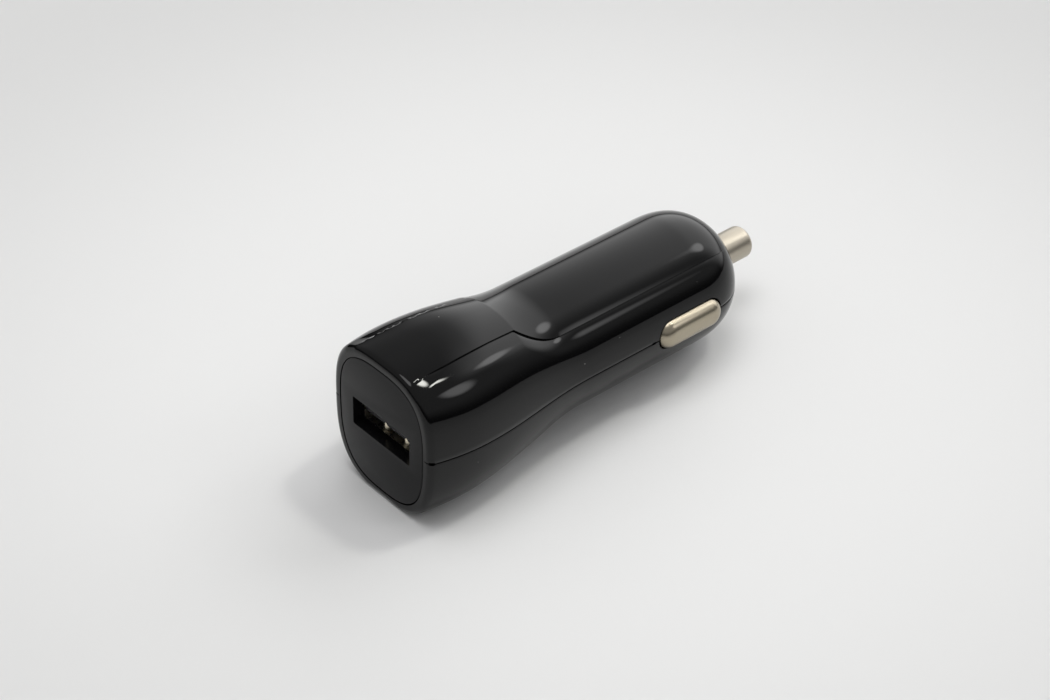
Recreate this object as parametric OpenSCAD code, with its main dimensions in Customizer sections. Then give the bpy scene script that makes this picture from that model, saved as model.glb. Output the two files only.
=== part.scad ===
// Single-port car charger plug. The origin is on the plug's axis at the front end of
// the round barrel, +X runs towards the sprung centre contact and +Z is up.
// The parting plane of the two housing halves is Z = 0.

/* [Barrel] */
// Diameter of the round barrel that enters the socket
barrel_d = 20.9; // [20.4:0.1:21.6]
// Length of the cylindrical part of the barrel
barrel_len = 20; // [19:0.5:24]
// Length of the domed nose behind the cylinder
nose_len = 11.2; // [10.6:0.2:14]
// Fullness of the nose dome
nose_power = 2.8; // [2.4:0.1:3.2]
// Thickness of the nose behind the centre contact's flange
nose_floor = 2.8; // [2:0.1:3.4]

/* [Grip] */
// Length of the grip, from the port face to the barrel
grip_len = 34; // [33:0.5:42]
// Distance behind the face at which the flare has met the barrel
flare_len = 30; // [27:0.5:32]
// Width of the housing at the port face
face_w = 21.2; // [20.6:0.2:23]
// Width of the housing at its belly
belly_w = 24.3; // [22.6:0.1:26]
// Distance of the belly behind the face
belly_pos = 9.5; // [7:0.5:12]
// Height of the housing above the parting plane at the face
face_top = 11.4; // [11:0.1:12.6]
// Greatest height above the parting plane
crown_top = 12; // [11.4:0.1:13]
// Distance of the crown behind the face
crown_pos = 12; // [9:0.5:14]
// Depth of the housing below the parting plane at the face
face_low = 13; // [12.8:0.1:13.6]
// Depth at the face of the flat land that the grip lies on
rest_low = 12.79; // [12.6:0.01:12.8]
// Hollow along the middle of that land, which leaves its two edges to stand on
land_hollow = 0.06; // [0:0.01:0.1]
// Depth below the parting plane where the underside starts to rise
keel_low = 11.85; // [11.2:0.05:12]
// Distance of that place behind the face
keel_pos = 20; // [18:0.5:22]
// How square the upper half is at the face, above a plain ellipse
square_top = 0.97; // [0.5:0.01:1.4]
// How square the lower half is at the face, above a plain ellipse
square_low = 0.87; // [0.5:0.01:1.4]
// Rounding of the rim at the face
rim_round = 0.8; // [0.3:0.1:1.1]

/* [Label panel] */
// Distance behind the face at which the panel's scoop starts
scoop_pos = 19.9; // [18:0.1:22]
// Length of the scoop down to the barrel's radius
scoop_len = 7; // [5:0.5:8]
// Angle above the side at which the top crease starts at the face
crease_face = 61.5; // [56:0.5:66]
// Angle of the crease where it reaches the scoop
crease_scoop = 64; // [58:0.5:68]
// Angle of the panel's edge along the barrel
crease_barrel = 45; // [40:1:50]
// Distance behind the face over which the crease grows to its full step
crease_run = 7; // [4:0.5:12]
// Step down from the top surface to the hollow flank
crease_step = 0.25; // [0.1:0.05:0.4]
// Angle at which the flat facet under the crease ends at the rim
facet_face = 49.5; // [48:0.5:56]
// Distance behind the face at which that facet has narrowed to an edge
facet_len = 7; // [4:0.5:10]
// Angle over which the hollow flank runs out below the crease
flank_angle = 15; // [10:1:18]
// Forward shift that lets the flank's hollow fade out on the nose
flank_fade = 0.7; // [0.4:0.1:1]

/* [Housing] */
// Wall thickness
wall = 1.5; // [1.3:0.1:1.8]
// Wall thickness round the flange pocket in the nose
nose_wall = 1.2; // [1:0.1:1.5]
// Width of the parting line that shows outside
reveal = 0.16; // [0.06:0.02:0.3]
// Depth of that line
reveal_depth = 0.5; // [0.2:0.1:0.8]
// Length of the notch that the parting line ends in before the side contact
notch_len = 0.8; // [0.5:0.1:1.2]
// Height of that notch
notch_h = 0.4; // [0.3:0.05:0.6]
// Depth of that notch
notch_deep = 0.6; // [0.5:0.05:0.8]
// Housing left between the notch and the contact
notch_gap = 0.8; // [0.5:0.1:1.2]
// Radius of the bosses that line the halves up
boss_r = 1.1; // [0.9:0.1:1.2]
// Radius of the locating pegs
peg_r = 0.55; // [0.4:0.05:0.7]
// Height of the locating pegs
peg_len = 1.4; // [1:0.1:2]
// Clearance round the pegs
peg_gap = 0.08; // [0.04:0.02:0.16]
// Distance of the front bosses behind the face
boss_front = 10; // [7:0.5:13]
// Distance of the rear bosses behind the face
boss_rear = 22; // [19:0.5:23]
// Radius of the posts that carry the board
post_r = 1; // [0.8:0.1:1.3]

/* [Face plate] */
// Thickness of the face plate
plate_t = 2; // [1.6:0.1:2.4]
// Gap between the plate and the rim
plate_gap = 0.12; // [0.06:0.02:0.2]
// Rounding of the plate's front edge
plate_round = 0.3; // [0.1:0.05:0.5]
// Width of the ledge behind the plate
ledge_w = 1; // [0.6:0.1:1.2]
// Thickness of the ledge behind the plate
ledge_t = 1; // [0.8:0.1:1.4]
// Width of the mouth in the plate
mouth_w = 12.5; // [12.3:0.1:12.7]
// Height of the mouth in the plate
mouth_h = 4.8; // [4.6:0.1:5.1]

/* [Port] */
// Height of the port's centre above the parting plane
port_z = -0.55; // [-1:0.05:0]
// Width inside the port's metal shell
port_w = 12.5; // [12.5:0.1:12.8]
// Height inside the port's metal shell
port_h = 5.12; // [5.1:0.02:5.3]
// Length of the port's metal shell
port_len = 13.6; // [12.5:0.1:14]
// Thickness of the port's sheet metal
port_sheet = 0.3; // [0.25:0.05:0.35]
// Gap between the tongue and the side of the shell
tongue_side = 0.7; // [0.6:0.05:0.9]
// Thickness of the tongue
tongue_t = 1.84; // [1.7:0.02:1.9]
// Gap between the tongue and the shell above it
tongue_gap = 0.72; // [0.6:0.02:0.8]
// Distance of the tongue's end behind the shell's mouth
tongue_set = 0.9; // [0.5:0.1:1.5]
// Distance of the shell's legs behind the shell's mouth
leg_back = 8; // [7:0.5:9]
// Length of the moulded block that holds the tongue
block_len = 3.6; // [3:0.1:4.2]
// Width of each of the four contact strips
strip_w = 1; // [0.8:0.05:1.1]
// Thickness of each contact strip
strip_t = 0.25; // [0.2:0.05:0.3]
// Distance of the inner strips from the middle
strip_inner = 1; // [0.9:0.05:1.1]
// Distance of the outer strips from the middle
strip_outer = 3.5; // [3.3:0.05:3.7]
// Width of the shell's spring leaves
leaf_w = 2.2; // [1.8:0.1:2.6]
// Distance of the leaves from the middle
leaf_y = 3; // [2.6:0.1:3.4]
// Length of the leaves
leaf_len = 5; // [4:0.1:6]
// How far the leaves bow into the port
leaf_bow = 0.45; // [0.2:0.05:0.5]

/* [Centre contact] */
// Diameter of the contact pin
pin_d = 5.2; // [4.6:0.1:5.4]
// Length of the pin outside the nose
pin_out = 6.8; // [5:0.1:7.5]
// Rounding of the pin's end
pin_round = 0.9; // [0.4:0.1:1.4]
// Step from the pin down to its stem inside the nose
stem_step = 0.3; // [0.2:0.05:0.4]
// Clearance round the pin in the nose
pin_gap = 0.1; // [0.06:0.02:0.2]
// Radius of the flange that holds the pin in
flange_r = 4.1; // [3.8:0.1:4.4]
// Thickness of the flange
flange_t = 1.2; // [0.8:0.1:1.4]
// Outer radius of the pin's coil spring
tip_coil_r = 3; // [2.7:0.1:3.2]
// Wire diameter of the pin's coil spring
tip_wire = 0.5; // [0.4:0.05:0.55]
// Turns of the pin's coil spring
tip_turns = 5; // [4:0.5:6]
// Distance of the spring's seat behind the barrel's front end
tip_seat_pos = 20; // [19.8:0.1:20.4]

/* [Side contacts] */
// Length of the side contact that shows
pad_len = 12.6; // [11:0.1:13]
// Width of the side contact that shows
pad_w = 4.8; // [4.2:0.1:5]
// How far the contact stands out of the barrel
pad_proud = 1.2; // [0.8:0.1:1.5]
// Rounding of the contact's outer edge
pad_round = 2; // [0.8:0.1:2.1]
// Distance of the contact's middle behind the barrel's front end
pad_pos = 16.3; // [16:0.1:16.6]
// Sheet thickness of the contact
pad_sheet = 0.45; // [0.35:0.05:0.55]
// Gap between the contact and its slot
pad_gap = 0.18; // [0.1:0.02:0.3]
// Width of the flange that keeps the contact in
lip_w = 0.6; // [0.4:0.05:0.7]
// Gap between that flange and the barrel's inside
lip_gap = 0.1; // [0.05:0.05:0.2]
// Outer radius of the side springs
side_coil_r = 1.5; // [1.3:0.1:1.6]
// Wire diameter of the side springs
side_wire = 0.35; // [0.3:0.05:0.4]
// Turns of each side spring
side_turns = 8; // [6:0.5:9]

/* [Board] */
// Thickness of the circuit board
board_t = 1.2; // [1:0.1:1.6]
// Gap between the board's edge and the barrel's inside
board_gap = 0.3; // [0.2:0.1:0.6]
// Gap between the board's front edge and the face plate
board_front = 0.5; // [0.3:0.1:0.6]
// Board left beside the shell's legs
board_side = 1; // [0.6:0.1:1.4]
// Distance of the board's rear end behind the barrel's front end
board_end = 22.4; // [22:0.1:22.8]
// Thickness of the folded strips that carry the springs
strap_t = 0.5; // [0.4:0.05:0.6]
// Margin of those strips round the springs
strap_edge = 0.5; // [0.3:0.1:0.6]
// Length of the pegs on those strips that hold the springs' ends
spigot_len = 0.8; // [0.6:0.1:1]
// Radius of the output capacitor
out_cap_r = 3.15; // [2.5:0.05:3.2]
// Height of the output capacitor's can
out_cap_h = 7; // [5:0.1:7.7]
// Radius of the input capacitor
in_cap_r = 4; // [3.2:0.1:4.2]
// Length of the input capacitor
in_cap_len = 10; // [8:0.1:10.4]
// Radius of the choke
choke_r = 3.3; // [2.8:0.1:3.5]
// Height of the choke
choke_h = 4.5; // [3:0.1:5]
// Length of the regulator's body
reg_len = 4.9; // [4.7:0.1:5.2]
// Width of the regulator's body
reg_wid = 3.9; // [3.7:0.1:4.1]
// Height of the regulator's body
reg_high = 1.4; // [1.2:0.1:1.6]
// Pitch of the regulator's leads
reg_pitch = 1.27; // [1.2:0.01:1.3]
// Reach of the leads beside the body
reg_foot = 1.1; // [0.8:0.1:1.2]
// Length of the diode
diode_len = 4.4; // [4:0.1:4.6]
// Width of the diode
diode_wid = 2.6; // [2.3:0.1:2.8]
// Height of the diode
diode_high = 2; // [1.8:0.1:2.2]
// Length of the fuse across the board
fuse_len = 4.5; // [4:0.1:4.7]
// Width of the fuse
fuse_wid = 3.2; // [2.8:0.1:3.4]
// Height of the fuse
fuse_high = 1; // [0.8:0.1:1.2]
// Length of the chip parts
chip_len = 2; // [1.8:0.1:2.2]
// Width of the chip parts
chip_wid = 1.25; // [1.1:0.05:1.4]
// Height of the chip parts
chip_high = 0.55; // [0.45:0.05:0.65]

/* [Hidden] */
$fn = 48;

barrel_r = barrel_d / 2;
bore_r = barrel_r - wall;
face_x = -grip_len;
nose_x = barrel_len + nose_len;
hold_pos = plate_t + leg_back + 1;
stop_x = nose_x - nose_floor;
weld = 0.01;
play = 0.05;
crease_lean = 0.4;
edge_turn = 1.6;
dome_steps = 14;
lower_steps = 36;
rest_rise = (rest_low - barrel_r) / (grip_len + barrel_len);

// Share left of a run that eases from 1 to 0 between two places
function ease(s, from, to) =
    let (t = min(max((s - from) / (to - from), 0), 1)) (1 + cos(180 * t)) / 2;
function sq(v) = v * v;

// Half width, height and depth of the housing at a distance s behind the face
function half_w(s) = s < belly_pos
    ? belly_w / 2 - (belly_w - face_w) / 2 * sq(1 - s / belly_pos)
    : barrel_r + (belly_w / 2 - barrel_r) * ease(s, belly_pos, flare_len);
function top_h(s) = s < crown_pos
    ? crown_top - (crown_top - face_top) * sq(1 - s / crown_pos)
    : barrel_r + (crown_top - barrel_r) * ease(s, crown_pos, flare_len);
function low_h(s) = s < keel_pos
    ? face_low - (face_low - keel_low) * s / keel_pos
    : barrel_r + (keel_low - barrel_r) * ease(s, keel_pos, flare_len);
function top_n(s) = 2 + square_top * sq(1 - min(s / flare_len, 1));
function low_n(s) = 2 + square_low * ease(s, 4, flare_len);

// Radius of a rounded-square section at an angle above or below the side
function section_r(a, h, n, angle) =
    pow(pow(abs(cos(angle)) / a, n) + pow(abs(sin(angle)) / h, n), -1 / n);

// The scoop leaves the top surface at scoop_pos and runs out on the barrel
function scoop(s) = sq(1 - min(max((s - scoop_pos) / scoop_len, 0), 1));
function panel_w(s) = s < scoop_pos ? half_w(s)
    : barrel_r + (half_w(scoop_pos) - barrel_r) * scoop(s);
function panel_h(s) = s < scoop_pos ? top_h(s)
    : barrel_r + (top_h(scoop_pos) - barrel_r) * scoop(s);
function crease(s) = s < scoop_pos
    ? crease_face + (crease_scoop - crease_face) * s / scoop_pos
    : crease_barrel + (crease_scoop - crease_barrel) * scoop(s);

function panel_r(s, angle, inset) =
    section_r(panel_w(s) - inset, panel_h(s) - inset, top_n(s), angle);
function side_r(s, angle, inset) =
    section_r(half_w(s) - inset, top_h(s) - inset, top_n(s), angle);
function low_r(s, angle, inset) =
    section_r(half_w(s) - inset, low_h(s) - inset, low_n(s), angle);

// The flank below the crease is hollowed so that it lies a step under the panel
function flank_r(s, angle, inset) =
    let (c = crease(s), grown = 1 - ease(s, 0, crease_run),
         drop = side_r(s, c, 0) - panel_r(s, c, 0) + crease_step * grown,
         u = min(max((c - angle) / flank_angle, 0), 1))
    side_r(s, angle, inset) - drop * sq(1 - u);

// Lower edge of the flat facet that lies under the crease at the rim
function facet_edge(s) = let (c = crease(s))
    min(c - edge_turn, facet_face + (crease(facet_len) - edge_turn - facet_face) * s / facet_len);
function point(s, r, angle) = [s, -r * cos(angle), r * sin(angle)];
function spread(from, to, count) = [for (i = [0 : count]) from + (to - from) * i / count];
function mirrored(points) = [for (i = [len(points) - 1 : -1 : 0])
    [points[i][0], -points[i][1], points[i][2]]];
// The wall's facets lie just outside the round bore that they lead into
function wall_at(s) = (s < plate_t + ledge_t ? wall - plate_gap : wall) - 2 * weld;

// One side of the upper skin, from the parting line over the flank to the top
function upper_side(s, inset) =
    let (c = crease(s), run = c - flank_angle, e = facet_edge(s))
    concat(
        [for (a = spread(0, run, 6)) point(s, flank_r(s, a, inset), a)],
        [for (i = [1 : 3]) let (a = run + (e - run) * i / 3) point(s, flank_r(s, a, inset), a)],
        [point(s, flank_r(s, c, inset), c)],
        [for (a = spread(c + crease_lean, 90, 6)) point(s, panel_r(s, a, inset), a)]);

// Closed outline of a half's wall: the skin from side to side, then the inside back again
function upper_ring(s, inset) =
    let (side = upper_side(s, inset + weld), w = wall_at(s))
    concat(side, [for (p = mirrored(side)) if (p[1] > weld) p],
        [for (a = spread(180, 0, 2 * len(side) - 2))
            point(s, section_r(half_w(s) - w, min(panel_h(s), top_h(s)) - w, top_n(s), a), a)]);
land_half = max([for (a = spread(0, 180, lower_steps))
    let (p = point(0, low_r(0, a, weld), -a)) if (p[2] < -rest_low) p[1]]);
function landed(p, low) = [p[0], p[1],
    max(p[2], land_hollow * max(1 - sq(p[1] / land_half), 0) - low)];
function lower_ring(s, inset) =
    let (w = wall_at(s), r = inset + weld, land = rest_low - rest_rise * s - inset)
    concat([for (a = spread(180, 0, lower_steps)) landed(point(s, low_r(s, a, r), -a), land)],
        [for (a = spread(0, 180, lower_steps)) point(s, low_r(s, a, w), -a)]);

// Stations behind the face as pairs of distance and inset: the rounded rim, then the body
rim_stations = [for (a = spread(0, 90, 4)) [rim_round * (1 - cos(a)), rim_round * (1 - sin(a))]];
grip_stations = concat(
    [for (s = spread(plate_t, scoop_pos - 0.01, 8)) s],
    [for (s = spread(scoop_pos + 0.3, scoop_pos + scoop_len, 6)) s],
    [for (s = spread(scoop_pos + scoop_len, grip_len, 3)) if (s > scoop_pos + scoop_len) s]);

// Skin through rings of equal length, closed at both ends: by a strip between the two
// halves of each end ring where it is the outline of a wall, or else by one flat face
module loft(rings, is_wall = false) {
    n = len(rings[0]);
    last = (len(rings) - 1) * n;
    strip = [for (j = [0 : n / 2 - 2], k = [0, 1])
        k == 0 ? [j, j + 1, n - 2 - j] : [j, n - 2 - j, n - 1 - j]];
    end_faces = is_wall ? strip : [[for (j = [0 : n - 1]) j]];
    polyhedron(
        points = [for (ring = rings, p = ring) p],
        faces = concat(
            [for (face = end_faces) [for (j = [len(face) - 1 : -1 : 0]) face[j]]],
            [for (i = [0 : len(rings) - 2], j = [0 : n - 1], k = [0, 1])
                let (a = i * n + j, b = i * n + (j + 1) % n)
                k == 0 ? [a, b, b + n] : [a, b + n, a + n]],
            [for (face = end_faces) [for (j = face) last + j]]));
}

// Revolves a profile of [radius, distance] pairs about the plug's axis
module about_axis() { rotate([0, 90, 0]) rotate_extrude() children(); }
// Solid half space above (side = 1) or below (side = -1) the parting plane
module half(side) {
    translate([-grip_len - 5, -20, side > 0 ? 0 : -40]) cube([grip_len + nose_x + 20, 40, 40]);
}

function dome_r(x) = barrel_r * sqrt(max(1 - pow(max(x - barrel_len, 0) / nose_len, nose_power), 0));
pin_hole_r = pin_d / 2 + pin_gap;
// Place where the dome meets the pin's hole
hole_x = barrel_len + nose_len * pow(1 - sq(pin_hole_r / barrel_r), 1 / nose_power);
dome_stations = [for (i = [1 : dome_steps]) barrel_len + (hole_x - barrel_len) * sin(90 * i / dome_steps)];
inner_dome = [for (i = [0 : 8]) stop_x - (stop_x - barrel_len) * i / 8];

module outer_profile() {
    polygon(concat([[0, 0], [barrel_r, 0], [barrel_r, barrel_len]],
        [for (x = dome_stations) [dome_r(x), x]], [[0, hole_x]]));
}

// Barrel and nose as one turned form with its bore, flange pocket and pin hole
module barrel_and_nose() {
    about_axis() difference() {
        outer_profile();
        polygon(concat([[0, -1], [bore_r, -1]],
            [for (i = [8 : -1 : 0]) [min(bore_r, dome_r(inner_dome[i]) - nose_wall), inner_dome[i]]],
            [[pin_hole_r, stop_x], [pin_hole_r, nose_x + 1], [0, nose_x + 1]]));
    }
}

// Hollow of the flank on the barrel and nose: a wedge less the turned form shifted aside
module flank_cut(side) {
    low = crease_barrel - flank_angle;
    start = low - 4;
    shift = crease_step / sin(flank_angle);
    reach = barrel_r + 2;
    difference() {
        rotate([0, 90, 0]) linear_extrude(nose_x) polygon([[0, 0],
            [-reach * sin(start), -side * reach * cos(start)],
            [-reach * sin(crease_barrel), -side * reach * cos(crease_barrel)]]);
        translate([flank_fade - 1, side * -shift * cos(low - 90), shift * sin(low - 90)])
            rotate([0, 90, 0]) rotate_extrude() polygon(concat([[0, 0], [barrel_r, 0],
                [barrel_r, barrel_len + 1]],
                [for (x = dome_stations) [dome_r(x), x + 1]], [[0, hole_x + 1]]));
    }
}

// Capsule-ended slot for a side contact, grown by gap, from y0 outwards on both sides
module pad_prism(grow, y0, y1) {
    r = pad_w / 2 + grow;
    run = pad_len / 2 - pad_w / 2;
    translate([pad_pos, 0, 0]) rotate([-90, 0, 0]) translate([0, 0, y0]) {
        for (x = [-run, run]) translate([x, 0, 0]) cylinder(r = r, h = y1 - y0);
        translate([-run, -r, 0]) cube([2 * run, 2 * r, y1 - y0]);
    }
}

// Height of the housing's inside or outside over a point, inset from the skin
function skin_z(h, n, s, y, inset) =
    (h - inset) * pow(max(1 - pow(abs(y) / (half_w(s) - inset), n), 0), 1 / n);
function boss_y(s) = half_w(s) - wall - boss_r + 0.3;
function boss_h(h, n, s) = skin_z(h, n, s, boss_y(s) + boss_r, wall / 2);

// Section of the housing across the plug's axis, inset from the skin
module outline(s, inset) {
    polygon([for (a = [0 : 6 : 354])
        let (r = a <= 180 ? side_r(s, a, inset) : low_r(s, a, inset)) [-r * sin(a), -r * cos(a)]]);
}

module ledge() {
    translate([face_x + plate_t, 0, 0]) rotate([0, 90, 0]) linear_extrude(ledge_t) difference() {
        outline(plate_t, wall / 2);
        outline(plate_t, wall + ledge_w);
    }
}

// Slots for the side contacts, and the small notches that the parting line ends in
module shell_cuts() {
    notch_x = pad_pos - pad_len / 2 - notch_gap - notch_len;
    pad_prism(pad_gap, -barrel_r - 5, -bore_r / 2);
    pad_prism(pad_gap, bore_r / 2, barrel_r + 5);
    for (side = [-1, 1]) translate([notch_x, side * barrel_r - notch_deep, -notch_h / 2])
        cube([notch_len, 2 * notch_deep, notch_h]);
}

// Everything outside the plan of the plug, set in by reveal_depth, beside the parting plane
module reveal_cut(side) {
    plan = concat([for (s = spread(reveal_depth, flare_len, 15)) [s - grip_len, half_w(s) - reveal_depth]],
        [[barrel_len, barrel_r - reveal_depth]],
        [for (x = dome_stations) [x, dome_r(x) - reveal_depth]]);
    translate([0, 0, side > 0 ? -1 : -reveal / 2]) difference() {
        translate([-grip_len - 1, -belly_w, 0])
            cube([grip_len + nose_x + 2, 2 * belly_w, 1 + reveal / 2]);
        translate([0, 0, -1]) linear_extrude(4) union() {
            polygon(concat(plan, [for (i = [len(plan) - 1 : -1 : 0]) [plan[i][0], -plan[i][1]]]));
        }
    }
}

board_top = port_z - port_h / 2 - port_sheet;
board_low = board_top - board_t;
board_hw = sqrt(sq(bore_r - board_gap) - sq(board_low));
board_start = face_x + plate_t + board_front;
boss_stations = [boss_front, boss_rear];
post_stations = [7, 24.8, 38, 50];
post_y = 4;
post_low = board_top + 2 * port_sheet + port_h;

module upper_shell() {
    color([0.05, 0.05, 0.055]) difference() {
        union() {
            translate([face_x, 0, 0]) loft(concat(
                [for (r = rim_stations) upper_ring(r[0], r[1])],
                [for (s = grip_stations) upper_ring(s, 0)]), is_wall = true);
            intersection() {
                difference() {
                    barrel_and_nose();
                    for (side = [-1, 1]) flank_cut(side);
                }
                half(1);
            }
            intersection() { ledge(); half(1); }
            for (s = boss_stations, side = [-1, 1])
                translate([face_x + s, side * boss_y(s), 0])
                    cylinder(r = boss_r, h = boss_h(top_h(s), top_n(s), s));
            for (side = [-1, 1]) translate([face_x + hold_pos, side * leaf_y, post_low])
                cylinder(r = post_r, h = skin_z(top_h(hold_pos), top_n(hold_pos), hold_pos,
                    leaf_y + post_r, wall / 2) - post_low);
        }
        shell_cuts();
        reveal_cut(1);
        for (s = boss_stations, side = [-1, 1])
            translate([face_x + s, side * boss_y(s), -1])
                cylinder(r = peg_r + peg_gap, h = 1 + peg_len + 0.2);
    }
}

module lower_shell() {
    color([0.05, 0.05, 0.055]) difference() {
        union() {
            translate([face_x, 0, 0]) loft(concat(
                [for (r = rim_stations) lower_ring(r[0], r[1])],
                [for (s = grip_stations) lower_ring(s, 0)]), is_wall = true);
            intersection() { barrel_and_nose(); half(-1); }
            intersection() { ledge(); half(-1); }
            for (s = boss_stations, side = [-1, 1]) translate([face_x + s, side * boss_y(s), 0]) {
                h = boss_h(low_h(s), low_n(s), s);
                translate([0, 0, -h]) cylinder(r = boss_r, h = h);
                cylinder(r = peg_r, h = peg_len);
            }
            for (s = post_stations, side = [-1, 1]) {
                z = -skin_z(low_h(s), low_n(s), s, post_y + post_r, wall / 2);
                translate([face_x + s, side * post_y, z]) cylinder(r = post_r, h = board_low - z);
            }
        }
        shell_cuts();
        reveal_cut(-1);
    }
}

function plate_ring(s, inset) = [for (a = [0 : 6 : 354])
    point(s, a <= 180 ? side_r(s, a, wall + inset) : low_r(s, a, wall + inset), a)];

module face_plate() {
    color([0.07, 0.07, 0.075]) difference() {
        translate([face_x, 0, 0]) loft(concat(
            [for (a = spread(0, 90, 3)) plate_ring(plate_round * (1 - cos(a)), plate_round * (1 - sin(a)))],
            [plate_ring(plate_t, 0)]));
        translate([face_x - 1, -mouth_w / 2, port_z - mouth_h / 2]) cube([plate_t + 2, mouth_w, mouth_h]);
    }
}

shell_x = face_x + plate_t;
leaf_x = shell_x + 1.4;
leg_x = shell_x + leg_back;
leg_len = 2;
leg_low = board_low - 0.6;

// Spring leaf cut from the sheet and bowed into the port, on the side that z_dir points in from
module leaf(z_dir) {
    for (y = [-leaf_y, leaf_y]) translate([leaf_x, y + leaf_w / 2, port_z - z_dir * port_h / 2])
        rotate([90, 0, 0]) linear_extrude(leaf_w) scale([1, z_dir])
            polygon([[-0.6, 0], [0, 0], [leaf_len * 0.6, leaf_bow], [leaf_len, leaf_bow * 0.3],
                [leaf_len, leaf_bow * 0.3 - port_sheet], [leaf_len * 0.6, leaf_bow - port_sheet],
                [0, -port_sheet], [-0.6, -port_sheet]]);
}

module usb_shell() {
    out_w = port_w + 2 * port_sheet;
    color([0.72, 0.7, 0.65]) {
        difference() {
            translate([shell_x, -out_w / 2, board_top]) cube([port_len, out_w, port_h + 2 * port_sheet]);
            translate([shell_x - 1, -port_w / 2, port_z - port_h / 2]) cube([port_len + 2, port_w, port_h]);
            for (y = [-leaf_y, leaf_y]) translate([leaf_x, y - leaf_w / 2 - 0.25, board_top - 1])
                cube([leaf_len + 0.4, leaf_w + 0.5, port_h + 2 * port_sheet + 2]);
        }
        leaf(1);
        leaf(-1);
        for (side = [-1, 1]) translate([leg_x, side > 0 ? port_w / 2 : -port_w / 2 - port_sheet, leg_low])
            cube([leg_len, port_sheet, board_top + 1 - leg_low]);
    }
}

tongue_w = port_w - 2 * tongue_side;
tongue_top = port_z + port_h / 2 - tongue_gap;
tongue_low = tongue_top - tongue_t;
tongue_x = shell_x + tongue_set;
block_x = shell_x + port_len - block_len;
strip_ys = [-strip_outer, -strip_inner, strip_inner, strip_outer];

module usb_contact(index) {
    x0 = tongue_x + 0.6;
    x1 = shell_x + port_len + 0.4;
    color([0.85, 0.7, 0.4]) translate([0, strip_ys[index] + strip_w / 2, 0]) rotate([90, 0, 0])
        linear_extrude(strip_w) polygon([[x0, tongue_low], [x1 + strip_t, tongue_low],
            [x1 + strip_t, board_top + strip_t], [x1 + 1.2, board_top + strip_t], [x1 + 1.2, board_top],
            [x1, board_top], [x1, tongue_low - strip_t], [x0, tongue_low - strip_t]]);
}
module usb_contact_1() { usb_contact(0); }
module usb_contact_2() { usb_contact(1); }
module usb_contact_3() { usb_contact(2); }
module usb_contact_4() { usb_contact(3); }

module usb_tongue() {
    color([0.1, 0.1, 0.1]) difference() {
        union() {
            translate([tongue_x, -tongue_w / 2, tongue_low])
                cube([block_x + 1 - tongue_x, tongue_w, tongue_t]);
            translate([block_x, -port_w / 2 + play, port_z - port_h / 2 + play])
                cube([block_len, port_w - 2 * play, port_h - 2 * play]);
        }
        for (i = [0 : 3]) usb_contact(i);
    }
}

// The board is wide enough beside the port to hold the shell's legs, and narrower behind
module circuit_board() {
    front_hw = max(board_hw, port_w / 2 + port_sheet + board_side);
    color([0.1, 0.35, 0.18]) difference() {
        union() {
            translate([board_start, -board_hw, board_low])
                cube([board_end - board_start, 2 * board_hw, board_t]);
            translate([board_start, -front_hw, board_low])
                cube([leg_x + leg_len + 1 - board_start, 2 * front_hw, board_t]);
        }
        for (side = [-1, 1])
            translate([leg_x - 0.15, side * (port_w + port_sheet) / 2 - port_sheet / 2 - 0.1,
                board_low - 1]) cube([leg_len + 0.3, port_sheet + 0.2, board_t + 2]);
    }
}

// Half profile of a round piece whose outer corner is rounded
module rounded_profile(r, h, f) {
    square([r - f, h]);
    square([r, h - f]);
    translate([r - f, h - f]) intersection() { circle(f); square(f); }
}

flange_back = stop_x - play - flange_t;
spigot_r = tip_coil_r - tip_wire - 0.15;
module tip_contact() {
    stem_len = nose_x + stem_step - flange_back;
    color([0.8, 0.77, 0.7]) translate([flange_back, 0, 0]) about_axis() {
        translate([0, stem_len]) rounded_profile(pin_d / 2, pin_out - stem_step, pin_round);
        square([pin_d / 2 - stem_step, stem_len + weld]);
        square([flange_r, flange_t]);
        translate([0, -flange_t]) square([spigot_r, flange_t + 0.1]);
    }
}

// Compression spring along +Z from 0 to len, with closed end turns
function coil_z(turn, turns, len, wire) =
    let (end = wire * 1.04, pitch = (len - wire - 2 * end) / (turns - 2))
    wire / 2 + (turn < 1 ? end * turn
        : turn > turns - 1 ? len - wire - end * (turns - turn) : end + pitch * (turn - 1));
module coil(outer_r, wire, turns, len, sides = 6, per_turn = 12) {
    mid = outer_r - wire / 2;
    loft([for (i = [turns * per_turn : -1 : 0])
        let (turn = i / per_turn, a = 360 * turn, z = coil_z(turn, turns, len, wire))
        [for (k = [0 : sides - 1]) let (b = 360 * k / sides, r = mid + wire / 2 * cos(b))
            [r * cos(a), r * sin(a), z + wire / 2 * sin(b)]]]);
}

tip_seat_face = tip_seat_pos + strap_t;
module tip_spring() {
    color([0.7, 0.7, 0.72]) translate([tip_seat_face + play, 0, 0]) rotate([0, 90, 0])
        coil(tip_coil_r, tip_wire, tip_turns, flange_back - tip_seat_face - 2 * play);
}
module tip_spring_seat() {
    w = tip_coil_r + strap_edge;
    color([0.8, 0.65, 0.3]) {
        translate([tip_seat_pos, -w, board_top]) cube([strap_t, 2 * w, w - board_top]);
        translate([tip_seat_pos - 1, -w, board_top]) cube([1 + strap_t, 2 * w, strap_t]);
        translate([tip_seat_pos, 0, 0]) rotate([0, 90, 0]) cylinder(r = spigot_r, h = strap_t + spigot_len);
    }
}

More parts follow.
